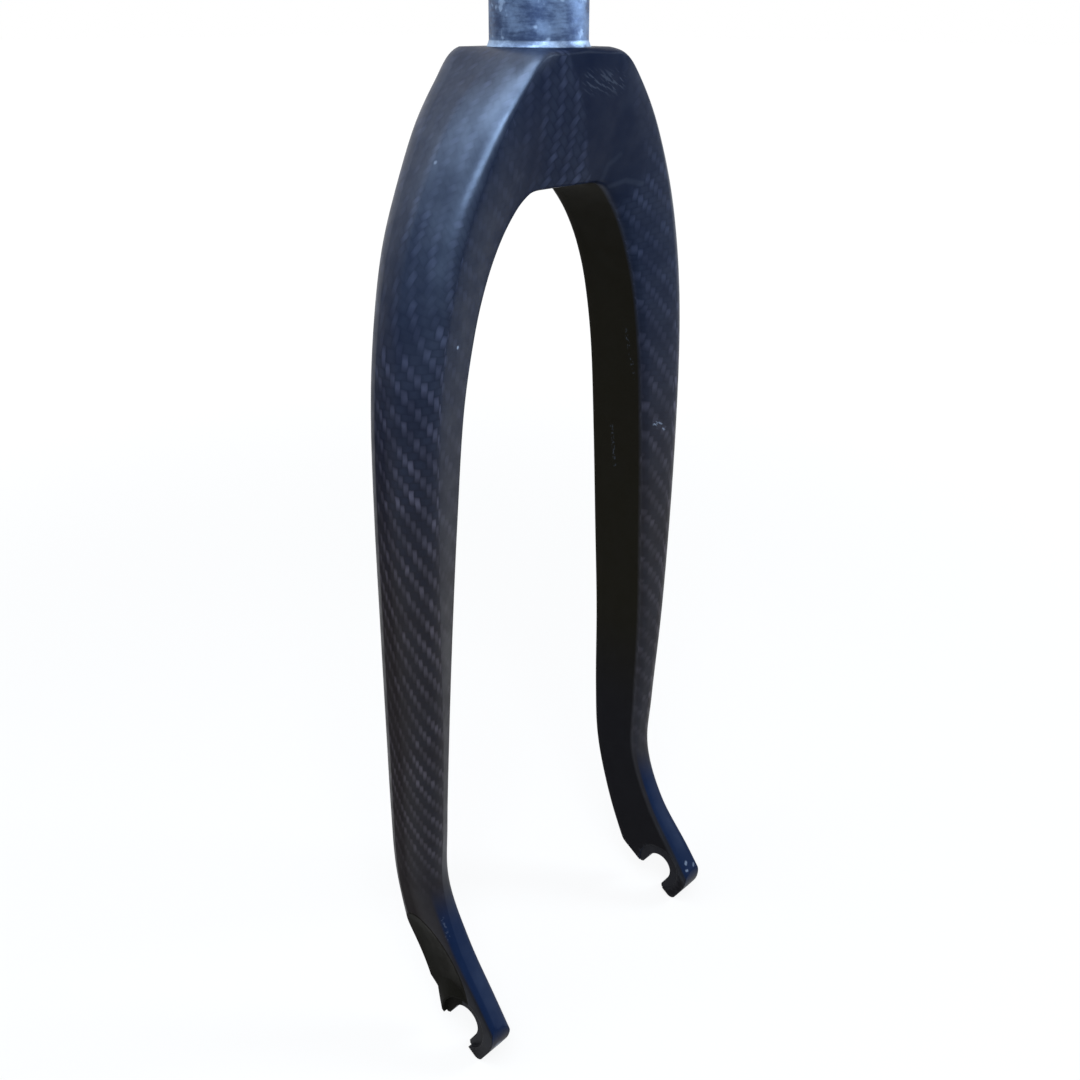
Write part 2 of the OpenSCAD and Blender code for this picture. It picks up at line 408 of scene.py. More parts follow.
def patchMap(rings, facing):
    # One flat cloth over the crown, seen from its front or its rear
    tilt = math.radians(weave["patchTilt"])
    x = rings[:, :, 0] * facing / weave["patchTow"]
    z = rings[:, :, 2] / weave["patchTow"]
    return np.stack([x * math.cos(tilt) - z * math.sin(tilt),
                     x * math.sin(tilt) + z * math.cos(tilt)], axis=-1)


def ridgePoint():
    # Index of the front ridge's middle in a ring
    return leg["innerCornerPoints"] + leg["stripPoints"] + leg["cornerPoints"] // 2


def sideMap(rings):
    # The side's and inner face's cloth: it grows round each ring and down along the leg
    middle, ridge = len(rings) // 2, ridgePoint()
    centres = rings[middle:].mean(axis=1)
    along = np.linalg.norm(np.diff(centres, axis=0), axis=1)
    rates = [tableColumn(sideCloth, centres[:, 2], k) for k in (1, 2, 3, 4)]
    sums = (sumDown(rates[1], along), sumDown(rates[3], along))
    stepLengths = np.linalg.norm(np.diff(rings, axis=1, append=rings[:, :1]), axis=2)
    around = np.concatenate([np.zeros((len(rings), 1)), np.cumsum(stepLengths, axis=1)], axis=1)
    around -= around[:, ridge:ridge + 1]
    around[:middle] *= -1
    station = abs(np.arange(len(rings)) - middle)
    return np.stack([around * rates[0][station, None] + sums[0][station, None],
                     around * rates[2][station, None] + sums[1][station, None]], axis=-1)


def mapCloth(mesh, rings, stations, face):
    # Cloth coordinates in tows: U runs to the right round the leg, V runs up
    middle, count = len(rings) // 2, rings.shape[1]
    onSide = sideMap(rings)
    onPatch = [patchMap(rings, facing) for facing in (1, -1)]
    onStrip = [np.array([stripMap(ring[:, 0], ring[:, 2], -1 if i < middle else 1, facing)
                         for i, ring in enumerate(rings)]) for facing in (1, -1)]
    corners = []
    for i in range(len(rings) - 1):
        cloth = onPatch if min(stations[i:i + 2]) < weave["patchEdge"] else onStrip
        for j in range(count):
            for r, p in ((i, j), (i, j + 1), (i + 1, j + 1), (i + 1, j)):
                if face[j] in (1, 3):
                    corners.append(onSide[r, p])
                else:
                    corners.append(cloth[face[j] // 2][r, p % count])
    uv = np.zeros((len(mesh.loops), 2))
    uv[:len(corners)] = corners
    mesh.uv_layers.new(name="clothMap").data.foreach_set("uv", uv.ravel())


def addLevel(mesh, name, values):
    level = mesh.attributes.new(name, "FLOAT", "POINT")
    level.data.foreach_set("value", np.ravel(values))


def shareOf(value, start, length):
    return np.clip((value - start) / length, 0, 1)


def fromRidge(count):
    # 0 at the front ridge, 1 past the rear one
    return shareOf(np.arange(count), ridgePoint(), leg["sidePoints"] + leg["cornerPoints"])


def weaveLevel(rings, face):
    x, z = rings[:, :, 0], rings[:, :, 2]
    side = levelAt(weave["roundSides"], fromRidge(len(face)))
    side = side * levelAt(weave["downSides"], z) * levelAt(weave["atTurn"], z)
    strip = levelAt(weave["acrossStrips"], x) * levelAt(weave["downStrips"], z)
    level = np.choose(face, [strip, side, weave["rearStrip"], weave["innerFace"]])
    return level * levelAt(weave["fade"], z)


def crownShare(x, z, reach):
    return shareOf(z, *reach[0]) * shareOf(abs(x), *reach[1])


def coatLevel(rings, face):
    x, z = rings[:, :, 0], rings[:, :, 2]
    past = fromRidge(len(face))
    strip = levelAt(coat["acrossStrips"], x) * levelAt(coat["downStrips"], z)
    side = levelAt(coat["roundSides"], past) * levelAt(coat["downSides"], z)
    base = np.choose(face, [strip, side, coat["rearStrip"], coat["innerFace"]])
    # The sides and both ridges, and the front ridge by itself, with soft ends
    j = np.arange(len(face))
    start = leg["innerCornerPoints"] + leg["stripPoints"]
    end = start + 2 * leg["cornerPoints"] + leg["sidePoints"]
    onSides = shareOf(j, start, 3) * shareOf(-j, -end, 3)
    onFrontRidge = shareOf(j, start, 3) * shareOf(-j, -start - leg["cornerPoints"], 6)
    top = crownShare(x, z, coat["crownSidesReach"])
    crest = crownShare(x, z, coat["crownRidgeReach"])
    lift = coat["legSides"] * (1 - past) + coat["crownSides"] * top * top * (1 - 0.3 * past)
    flatTop = 1 - coat["flatTop"] * shareOf(z, *coat["flatTopHeight"]) * levelAt(coat["flatTopAcross"], x)
    return (base + onSides * lift + onFrontRidge * coat["crownRidge"] * crest) * flatTop


def makeLegSkin():
    rings, stations, face = sweepLegs()
    count = len(face)
    last = (len(rings) - 1) * count
    faces = []
    for i in range(0, last, count):
        for j in range(count):
            k = (j + 1) % count
            faces.append((i + j, i + k, i + count + k, i + count + j))
    faces.append(tuple(range(count - 1, -1, -1)))
    faces.append(tuple(range(last, last + count)))
    skin = addMesh("forkBody", rings.reshape(-1, 3) * mm, [], faces)
    mapCloth(skin.data, rings, stations, face)
    addLevel(skin.data, "weaveShow", weaveLevel(rings, face))
    addLevel(skin.data, "gloss", coatLevel(rings, face))
    addLevel(skin.data, "moulded", np.ones(last + count))
    addLevel(skin.data, "innerFace", np.tile(face == 3, len(rings)).astype(float))
    return skin


# Fork ends in millimetres, drawn round the axle with the slot pointing down
forkEnd = {
    "axle": (-19.0, -302.0),
    "slotAngle": 34.0,
    "slotRadius": 5.4,
    "lipDrop": 5.9,
    "lipEase": 0.8,
    "hookFront": 12.5,
    "hookRadius": 2.5,
    "shoulderRadius": 11.0,
    "shoulderUp": 1.5,
    "shoulderTurn": 20.0,
    "shoulderWaste": 4.0,
    "innerFace": 50.0,
    "innerSeatDepth": 0.4,
    "outerSeatFace": 57.0,
    "outerSeatDepth": 1.2,
    "seatRadius": 9.0,
    "outerFace": 58.2,
    "scoopDepth": 4.0,
    "scoopReach": 25.0,
    "scoopPlace": (4.0, -297.0),
    "bossFootRadius": 16.5,
    "bossSlope": 1.6,
    "waste": 40.0,
    "arcSteps": 48,
}


def slotToLeg(points):
    # Turns outlines drawn round the axle, ahead and up along the slot, into the fork's side view
    turn = math.radians(forkEnd["slotAngle"])
    axleY, axleZ = forkEnd["axle"]
    return [(axleY - (a * math.cos(turn) + u * math.sin(turn)),
             axleZ + u * math.cos(turn) - a * math.sin(turn)) for a, u in points]


def turned(centre, radius, start, stop, steps):
    return [(centre[0] + radius * math.cos(t), centre[1] + radius * math.sin(t))
            for t in np.linspace(math.radians(start), math.radians(stop), steps)]


def slotOutline():
    r, drop, ease, deep = (forkEnd[k] for k in ("slotRadius", "lipDrop", "lipEase", "waste"))
    half = turned((0, 0), r, 0, 180, forkEnd["arcSteps"])
    left = [(-r, ease * 1.2 - drop), (-r - ease, -drop), (-r - ease, -deep)]
    right = [(-a, u) for a, u in reversed(left)]
    return half + left + right


def endOutline():
    # The waste round a fork end: below the lips, ahead of the hook and round its two corners
    e = forkEnd
    corner = (e["hookFront"] - e["hookRadius"], e["hookRadius"] - e["lipDrop"])
    shoulder = (e["hookFront"] - e["shoulderRadius"], e["shoulderUp"])
    tip = turned(corner, e["hookRadius"], -90, 0, e["arcSteps"] // 3)
    front = turned(shoulder, e["shoulderRadius"], 0, 90 - e["shoulderTurn"], e["arcSteps"] // 2)
    turn = math.radians(90 - e["shoulderTurn"])
    reach = e["shoulderRadius"] + e["shoulderWaste"]
    clear = (shoulder[0] + reach * math.cos(turn), shoulder[1] + reach * math.sin(turn))
    top = e["shoulderUp"] + 2 * e["shoulderRadius"]
    return ([(-e["waste"], -e["lipDrop"])] + tip + front + [clear, (e["hookFront"], clear[1])]
            + [(e["hookFront"], top), (e["waste"], top), (e["waste"], -e["waste"])]
            + [(-e["waste"], -e["waste"])])


def fixNormals(piece):
    bm = bmesh.new()
    bm.from_mesh(piece.data)
    bmesh.ops.recalc_face_normals(bm, faces=bm.faces)
    bm.to_mesh(piece.data)
    bm.free()


def makePrism(name, outline):
    # The outline runs right through both fork ends
    reach = 2 * forkEnd["outerFace"]
    flat = slotToLeg(outline)
    points = [(x * mm, y * mm, z * mm) for x in (-reach, reach) for y, z in flat]
    n = len(flat)
    faces = [tuple(range(n)), tuple(range(2 * n - 1, n - 1, -1))]
    faces += [(i, n + i, n + (i + 1) % n, (i + 1) % n) for i in range(n)]
    prism = addMesh(name, points, [], faces)
    fixNormals(prism)
    return prism


def scoopRadius():
    return (forkEnd["scoopReach"]**2 + forkEnd["scoopDepth"]**2) / (2 * forkEnd["scoopDepth"])


def scoopSide():
    # How far out the ball's centre lies
    return forkEnd["outerFace"] - forkEnd["scoopDepth"] + scoopRadius()


def makeScoopBall():
    # The ball that takes a shallow dish out of a fork end's outer face
    bm = bmesh.new()
    bmesh.ops.create_uvsphere(bm, u_segments=256, v_segments=256, radius=scoopRadius() * mm)
    bmesh.ops.translate(bm, verts=bm.verts, vec=Vector((scoopSide(), *forkEnd["scoopPlace"])) * mm)
    mesh = bpy.data.meshes.new("scoopBall")
    bm.to_mesh(mesh)
    bm.free()
    return addObject("scoopBall", mesh)


# Geometry Nodes trees

def newTree(name, inputs):
    tree = bpy.data.node_groups.new(name, "GeometryNodeTree")
    tree.interface.new_socket("Geometry", in_out="INPUT", socket_type="NodeSocketGeometry")
    for label, kind in inputs:
        tree.interface.new_socket(label, in_out="INPUT", socket_type="NodeSocket" + kind)
    tree.interface.new_socket("Geometry", in_out="OUTPUT", socket_type="NodeSocketGeometry")
    return tree, newNode(tree, "NodeGroupInput").outputs, newNode(tree, "NodeGroupOutput")


def endTree(tree, geometry, finish, groupOut, sharpAngle=28.0):
    # Realize, keep edges past the angle crisp, and set the material
    real = newNode(tree, "GeometryNodeRealizeInstances")
    feed(tree, real, 0, geometry)
    smooth = newNode(tree, "GeometryNodeSetShadeSmooth")
    feed(tree, smooth, "Geometry", real.outputs[0])
    angle = newNode(tree, "GeometryNodeInputMeshEdgeAngle")
    past = newNode(tree, "FunctionNodeCompare", operation="GREATER_THAN")
    feed(tree, past, 0, angle.outputs["Unsigned Angle"])
    feed(tree, past, 1, math.radians(sharpAngle))
    crisp = newNode(tree, "GeometryNodeSetShadeSmooth", domain="EDGE")
    feed(tree, crisp, "Geometry", smooth.outputs[0])
    feed(tree, crisp, "Selection", past.outputs[0])
    feed(tree, crisp, "Shade Smooth", False)
    setFinish = newNode(tree, "GeometryNodeSetMaterial")
    feed(tree, setFinish, "Geometry", crisp.outputs[0])
    feed(tree, setFinish, "Material", finish)
    feed(tree, groupOut, 0, setFinish.outputs[0])


def runTree(piece, tree, values):
    modifier = piece.modifiers.new(tree.name, "NODES")
    modifier.node_group = tree
    ids = {s.name: s.identifier for s in tree.interface.items_tree if s.in_out == "INPUT"}
    for label, value in values.items():
        modifier[ids[label]] = value
    graph = bpy.context.evaluated_depsgraph_get()
    made = bpy.data.meshes.new_from_object(piece.evaluated_get(graph))
    piece.modifiers.clear()
    old = piece.data
    piece.data = made
    made.name = piece.name
    bpy.data.meshes.remove(old)


def moveNode(tree, geometry, place=(0, 0, 0), turn=(0, 0, 0), scale=(1, 1, 1)):
    node = newNode(tree, "GeometryNodeTransform")
    feed(tree, node, "Geometry", geometry)
    feed(tree, node, "Translation", place)
    feed(tree, node, "Rotation", turn)
    feed(tree, node, "Scale", scale)
    return node.outputs[0]


def cylinderNode(tree, radius, depth, place, turn=(0, 0, 0), topRadius=None, steps=128):
    # A cylinder, or a cone where the top's radius is given
    isCone = topRadius is not None
    node = newNode(tree, "GeometryNodeMeshCone" if isCone else "GeometryNodeMeshCylinder")
    feed(tree, node, "Vertices", steps)
    feed(tree, node, "Depth", depth)
    feed(tree, node, "Radius Bottom" if isCone else "Radius", radius)
    if isCone:
        feed(tree, node, "Radius Top", topRadius)
    return moveNode(tree, node.outputs["Mesh"], place, turn)


def differenceNode(tree, solid, wastes):
    node = newNode(tree, "GeometryNodeMeshBoolean", operation="DIFFERENCE", solver="MANIFOLD")
    feed(tree, node, "Mesh 1", solid)
    for waste in wastes:
        feed(tree, node, "Mesh 2", waste)
    return node.outputs["Mesh"]


def forkBodyTree():
    tree, sizes, groupOut = newTree("cutForkBody", [
        ("Socket radius", "Float"), ("Socket cut", "Float"), ("Foot radius", "Float"),
        ("Seat radius", "Float"), ("Boss foot radius", "Float"), ("Boss top radius", "Float"),
        ("End waste", "Object"), ("Slots", "Object"), ("Scoop ball", "Object"),
        ("Finish", "Material"),
    ])
    e = forkEnd
    axleY, axleZ = (v * mm for v in e["axle"])
    across = (0, math.pi / 2, 0)

    def objectShape(label):
        info = newNode(tree, "GeometryNodeObjectInfo")
        feed(tree, info, "Object", sizes[label])
        return info.outputs["Geometry"]

    # Crown seat, then the tube's socket and the recess for its foot, both cut from above the seat
    box = newNode(tree, "GeometryNodeMeshCube")
    feed(tree, box, "Size", (100 * mm, 100 * mm, 20 * mm))
    socketMiddle = (steerer["socketOverlap"] - steerer["socketDepth"]) / 2
    cuts = [
        moveNode(tree, box.outputs["Mesh"], (0, 0, 10 * mm)),
        cylinderNode(tree, sizes["Socket radius"], sizes["Socket cut"], (0, 0, socketMiddle * mm)),
        cylinderNode(tree, sizes["Foot radius"], 2 * steerer["footSink"] * mm, (0, 0, 0)),
        objectShape("End waste"),
        objectShape("Slots"),
    ]

    # Round seats, one in each face of each fork end
    seats = [(e["innerFace"] - e["innerSeatDepth"], e["innerSeatDepth"]),
             (e["outerSeatFace"] + e["outerSeatDepth"], e["outerSeatDepth"])]
    for middle, sink in seats:
        for side in (-1, 1):
            place = (side * middle * mm, axleY, axleZ)
            cuts.append(cylinderNode(tree, sizes["Seat radius"], 2 * sink * mm, place, across))

    # Scoops: a ball less the cone that leaves the boss round the slot, and its mirror image
    boss = cylinderNode(tree, sizes["Boss foot radius"], (e["scoopDepth"] + 1) * mm,
                        ((e["outerFace"] - e["scoopDepth"]) * mm, axleY, axleZ), across,
                        sizes["Boss top radius"])
    dish = differenceNode(tree, objectShape("Scoop ball"), [boss])
    flip = newNode(tree, "GeometryNodeFlipFaces")
    feed(tree, flip, 0, moveNode(tree, dish, scale=(-1, 1, 1)))
    cuts += [dish, flip.outputs[0]]
    endTree(tree, differenceNode(tree, sizes["Geometry"], cuts), sizes["Finish"], groupOut)
    return tree


def makeForkBody(finish):
    body = makeLegSkin()
    wastes = {
        "End waste": makePrism("endWaste", endOutline()),
        "Slots": makePrism("slotWaste", slotOutline()),
        "Scoop ball": makeScoopBall(),
    }
    bossDrop = forkEnd["bossSlope"] * (forkEnd["scoopDepth"] + 1)
    runTree(body, forkBodyTree(), {
        "Socket radius": steerer["radius"] * mm,
        "Socket cut": (steerer["socketDepth"] + steerer["socketOverlap"]) * mm,
        "Foot radius": (steerer["radius"] + steerer["footLip"]) * mm,
        "Seat radius": forkEnd["seatRadius"] * mm,
        "Boss foot radius": forkEnd["bossFootRadius"] * mm,
        "Boss top radius": (forkEnd["bossFootRadius"] - bossDrop) * mm,
        "Finish": finish,
        **wastes,
    })
    for waste in wastes.values():
        bpy.data.objects.remove(waste)
    return body


steerer = {
    "radius": 14.3,
    "wall": 2.3,
    "socketDepth": 24.0,
    "socketOverlap": 2.0,
    "footLip": 0.7,
    "footHeight": 1.6,
    "footSink": 0.6,
    "rimChamfer": 0.6,
    "turnSteps": 192,
}


def steererTree():
    # Turns the wall's section round the steerer axis
    tree, sizes, groupOut = newTree("turnSteererTube", [
        ("Path radius", "Float"), ("Turn steps", "Int"), ("Finish", "Material"),
    ])
    circle = newNode(tree, "GeometryNodeCurvePrimitiveCircle", mode="RADIUS")
    feed(tree, circle, "Radius", sizes["Path radius"])
    feed(tree, circle, "Resolution", sizes["Turn steps"])
    section = newNode(tree, "GeometryNodeMeshToCurve")
    feed(tree, section, "Mesh", sizes["Geometry"])
    tube = newNode(tree, "GeometryNodeCurveToMesh")
    feed(tree, tube, "Curve", circle.outputs["Curve"])
    feed(tree, tube, "Profile Curve", section.outputs["Curve"])
    endTree(tree, tube.outputs["Mesh"], sizes["Finish"], groupOut)
    return tree


def makeSteererTube(finish):
    s = steerer
    low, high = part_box("steerer_tube")
    bottom, top = low.z / mm, high.z / mm
    outer, inner, lip = s["radius"], s["radius"] - s["wall"], s["radius"] + s["footLip"]
    ease = s["rimChamfer"]
    section = [
        (inner, bottom), (outer, bottom), (outer, -s["footSink"]), (lip, -s["footSink"]),
        (lip, 0.1), (lip - 0.2, 0.3), (outer + 0.1, s["footHeight"] - 0.2),
        (outer, s["footHeight"] + 0.2), (outer, top - 0.3), (outer - 0.1, top - 0.1),
        (outer - 0.3, top), (inner + ease, top), (inner, top - ease),
    ]
    points = [((r - outer) * mm, -z * mm, 0) for r, z in section]
    n = len(points)
    tube = addMesh("steererTube", points, [(i, (i + 1) % n) for i in range(n)], [])
    runTree(tube, steererTree(), {
        "Path radius": outer * mm, "Turn steps": s["turnSteps"], "Finish": finish,
    })
    return tube


# Carbon finish. The crown's colours carry a painted blue sky reflection and the legs are greyer; the fork
# ends' forward faces carry a painted navy reflection, and the inner faces painted shade.
# Heights are in millimetres: where a change starts and where it is complete.
carbonLook = {
    # Painted reflection: the crown's resin is painted blue, the blue of the sky it reflects
    "crown": rgb(0.0026, 0.0058, 0.0180),
    "legs": rgb(0.0128, 0.0104, 0.0106),
    "endFaces": rgb(0.0075, 0.0066, 0.0074),
    # Painted reflection: navy standing in for the blue light on the fork ends' forward-facing fronts
    "endFrontsPaintedReflection": rgb(0.0034, 0.0088, 0.0290),
    # Painted shade: the inner faces between the legs are darker and warmer, bluer lower down
    "innerUpperPaintedShade": rgb(0.0085, 0.0072, 0.0045),
    "innerLowerPaintedShade": rgb(0.0070, 0.0064, 0.0072),
    "dishes": rgb(0.0066, 0.0060, 0.0044),
    # Painted reflection: the crown's tows and cross tows are painted blue in the same way
    "crownTows": rgb(0.032, 0.041, 0.078),
    "legTows": rgb(0.066, 0.057, 0.070),
    "crownCrossTows": rgb(0.013, 0.019, 0.038),
    "legCrossTows": rgb(0.0120, 0.0105, 0.0140),
    # Colour of the wear and of the painted highlights on the resin creases and the near tip
    "wearAndHighlight": rgb(0.22, 0.27, 0.36),
    "specularTint": rgb(0.52, 0.69, 1.0),
    "legHeights": (-50, -170),
    "endFaceHeights": (-270, -292),
    "endFrontHeights": (-254, -270),
    "endTipHeights": (-306, -299),
    "innerHeights": (-190, -250),
    "crossTowShare": 0.8,
    "grainShare": 0.12,
    "bumpStrength": 0.25,
    "bumpHeight": 0.05,
    "edgeSoftness": 0.6,
    "roughness": (0.38, 0.48),
    "blotches": (0.78, 1.16),
    "cutFaceGloss": 0.18,
    "dishMatt": 0.92,
    "endFrontMatt": 0.45,
}

# Wear in the photo, drawn on three faces in millimetres, with painted highlights among it: light lines on
# the crown's resin creases and a glint on the near fork end's tip. Each row: across and up at one end and
# at the other, half width, how light it is, and 1 where it is broken into short scratches.
marks = {
    "front": [
        (-48, -77, -48, -77, 0.6, 0.8, 0), (53, -296.5, 52.5, -297, 0.6, 0.5, 0),
        (52, -299, 51.5, -299, 0.5, 0.5, 0), (56, -298, 55.5, -298.5, 0.5, 0.4, 0),
        # The row from (-55, -306.5) is a painted highlight on the near fork end's rounded tip
        (-55, -306.5, -52, -308, 1.8, 0.3, 0), (52.5, -124.5, 48.5, -122, 1.4, 0.5, 1),
        # The faint rows from (15, -38.5) on are creases in the crown's resin, lightened with a painted
        # highlight
        (1, -9, 13.5, -9.5, 4, 0.08, 1), (15, -38.5, 15.5, -33.5, 1.2, 0.02, 0),
        (15.5, -33.5, 19.5, -30.5, 1.2, 0.02, 0), (19, -40, 24.5, -38.5, 1.1, 0.03, 0),
        (24.5, -38.5, 31.5, -40, 1.1, 0.03, 0),
    ],
    "farInner": [(-2.5, -89.5, -5, -106, 0.8, 0.09, 1), (5.5, -125.5, 4.5, -140.5, 0.8, 0.09, 1)],
    "nearSide": [(-10, -266, -12.5, -272, 1.4, 0.12, 1), (-3, -28.5, -3, -28.5, 0.6, 0.4, 0)],
}


def dishMask(tree, position):
    # 1 within the balls that scoop out the fork ends' outer faces
    ballY, ballZ = forkEnd["scoopPlace"]
    level = vectorMath(tree, "SUBTRACT", position, (0, ballY * mm, ballZ * mm))
    folded = vectorMath(tree, "ABSOLUTE", level)
    away = vectorMath(tree, "DISTANCE", folded, (scoopSide() * mm, 0, 0))
    depth = calc(tree, "SUBTRACT", (scoopRadius() + 0.2) * mm, away)
    return mapRange(tree, depth, 0, 0.1 * mm)


# Resin-rich area over the crown's front, from the middle to the far leg. Each edge is a line
# x + slope * z + offset in millimetres, then the two values between which the edge eases.
resinArea = {
    "leftEdge": (0.47, 9.0, -1.0, 1.5),
    "rightEdge": (-0.77, -60.7, -3.0, 3.0),
    "thinnerEdge": (0.54, -12.5, -3.0, 3.0),
    "thinnerLevel": 0.6,
    "frontEdge": (-8.0, -10.0),
    "raggedness": 6.0,
}


def resinPool(tree, position):
    x, y, z = (calc(tree, "MULTIPLY", axis, 1 / mm) for axis in splitAxes(tree, position))
    raggedness = resinArea["raggedness"]
    ragged = calc(tree, "MULTIPLY_ADD", noise(tree, position, 220, 4), raggedness, -raggedness / 2)

    def pastEdge(name, toLow=0.0, toHigh=1.0):
        slope, offset, low, high = resinArea[name]
        line = calc(tree, "ADD", x, calc(tree, "MULTIPLY_ADD", z, slope, offset))
        return mapRange(tree, calc(tree, "ADD", line, ragged), low, high, toLow, toHigh)

    notPastRight = oneMinus(tree, pastEdge("rightEdge"))
    thinner = pastEdge("thinnerEdge", 1.0, resinArea["thinnerLevel"])
    front = mapRange(tree, y, *resinArea["frontEdge"])
    return product(tree, pastEdge("leftEdge"), notPastRight, thinner, front)


def towShape(tree, length, across):
    # Rounded top of one tow: it dips at both ends of its float and falls off at its sides
    arc = calc(tree, "SINE", calc(tree, "MULTIPLY", length, math.pi / weave["floatLength"]))
    crown = calc(tree, "POWER", calc(tree, "MAXIMUM", arc, 0.0), 0.6)
    offCentre = calc(tree, "ABSOLUTE", calc(tree, "MULTIPLY_ADD", calc(tree, "FRACT", across), 2.0, -1.0))
    sides = calc(tree, "MULTIPLY_ADD", calc(tree, "POWER", offCentre, 4.0), -weave["sideFall"], 1.0)
    return calc(tree, "MULTIPLY", crown, sides)


def weaveMasks(tree, position):
    # A 2x2 twill in tow units: where the lengthwise tows and the cross tows lie on top
    repeat, floatLength = weave["repeat"], weave["floatLength"]
    cloth = splitAxes(tree, newNode(tree, "ShaderNodeUVMap", uv_map="clothMap").outputs[0])
    drift = calc(tree, "SUBTRACT", noise(tree, position, 140, 2), 0.5)
    drift = calc(tree, "MULTIPLY", drift, weave["drift"])
    u = calc(tree, "ADD", cloth[0], drift)
    v = calc(tree, "SUBTRACT", cloth[1], drift)
    column, row = calc(tree, "FLOOR", u), calc(tree, "FLOOR", v)
    over = calc(tree, "FLOORED_MODULO", calc(tree, "ADD", column, row), repeat)
    over = calc(tree, "LESS_THAN", over, floatLength)
    alongFloat = calc(tree, "ADD", v, column)
    warpPlace = calc(tree, "FLOORED_MODULO", alongFloat, repeat)
    weftPlace = calc(tree, "FLOORED_MODULO", calc(tree, "ADD", u, row), repeat)
    warp = towShape(tree, warpPlace, u)
    weft = towShape(tree, calc(tree, "SUBTRACT", weftPlace, floatLength), v)

    # A painted highlight lightens the upper end of each bright float, and some tows are lighter than
    # others
    paintedFloatHighlight = mapRange(tree, warpPlace, 0.0, 1.7, *weave["paintedFloatHighlight"])
    whichTow = newNode(tree, "ShaderNodeTexWhiteNoise", noise_dimensions="2D")
    step = calc(tree, "FLOOR", calc(tree, "DIVIDE", alongFloat, repeat))
    feed(tree, whichTow, "Vector", joinAxes(tree, column, step))
    least, spread = weave["towShade"]
    shade = calc(tree, "MULTIPLY_ADD", whichTow.outputs["Value"], spread, least)

    haze = mapRange(tree, noise(tree, position, 120, 4), 0.3, 0.7, *weave["haze"])
    clear = oneMinus(tree, resinPool(tree, position))
    show = product(tree, pointLevel(tree, "weaveShow"), clear, haze)
    bright = product(tree, warp, paintedFloatHighlight, shade, over, show)
    return bright, product(tree, weft, oneMinus(tree, over), show)


def drawMarks(tree, across, up, rows, scratches):
    place = joinAxes(tree, across, up)
    total = 0.0
    for x0, y0, x1, y1, width, light, broken in rows:
        away = vectorMath(tree, "SUBTRACT", place, (x0, y0, 0))
        run = Vector((x1 - x0, y1 - y0, 0))
        if run.length > 0:
            share = vectorMath(tree, "DOT_PRODUCT", away, run / run.length_squared)
            share = calc(tree, "MINIMUM", calc(tree, "MAXIMUM", share, 0.0), 1.0)
            away = vectorMath(tree, "SUBTRACT", away, vectorMath(tree, "MULTIPLY", run, share))
        mark = vectorMath(tree, "LENGTH", away)
        mark = mapRange(tree, mark, 0.2 * width, 1.2 * width, light, 0.0)
        if broken:
            mark = calc(tree, "MULTIPLY", mark, scratches)
        total = calc(tree, "MAXIMUM", mark, total)
    return total


def wearAndHighlightMask(tree, position, facing, ahead, inside):
    # Chips, scuffs and scratches, and painted highlights: light lines along the creases in the resin and
    # a glint on the near tip
    x, y, z = (calc(tree, "MULTIPLY", axis, 1 / mm) for axis in splitAxes(tree, position))
    slant = newNode(tree, "ShaderNodeMapping", vector_type="TEXTURE")
    feed(tree, slant, "Vector", position)
    feed(tree, slant, "Rotation", (0, math.radians(-60), 0))
    feed(tree, slant, "Scale", (1, 1, 6))
    scratches = mapRange(tree, noise(tree, slant.outputs[0], 1300, 2), 0.52, 0.6)
    onFar = product(tree, inside, calc(tree, "GREATER_THAN", x, 0.0))
    onNear = product(tree, mapRange(tree, facing[0], -0.4, -0.6), calc(tree, "LESS_THAN", x, -40.0))
    wearAndHighlight = 0.0
    for name, side, where in (("front", x, ahead), ("farInner", y, onFar), ("nearSide", y, onNear)):
        drawn = drawMarks(tree, side, z, marks[name], scratches)
        wearAndHighlight = calc(tree, "MAXIMUM", calc(tree, "MULTIPLY", drawn, where), wearAndHighlight)
    return wearAndHighlight


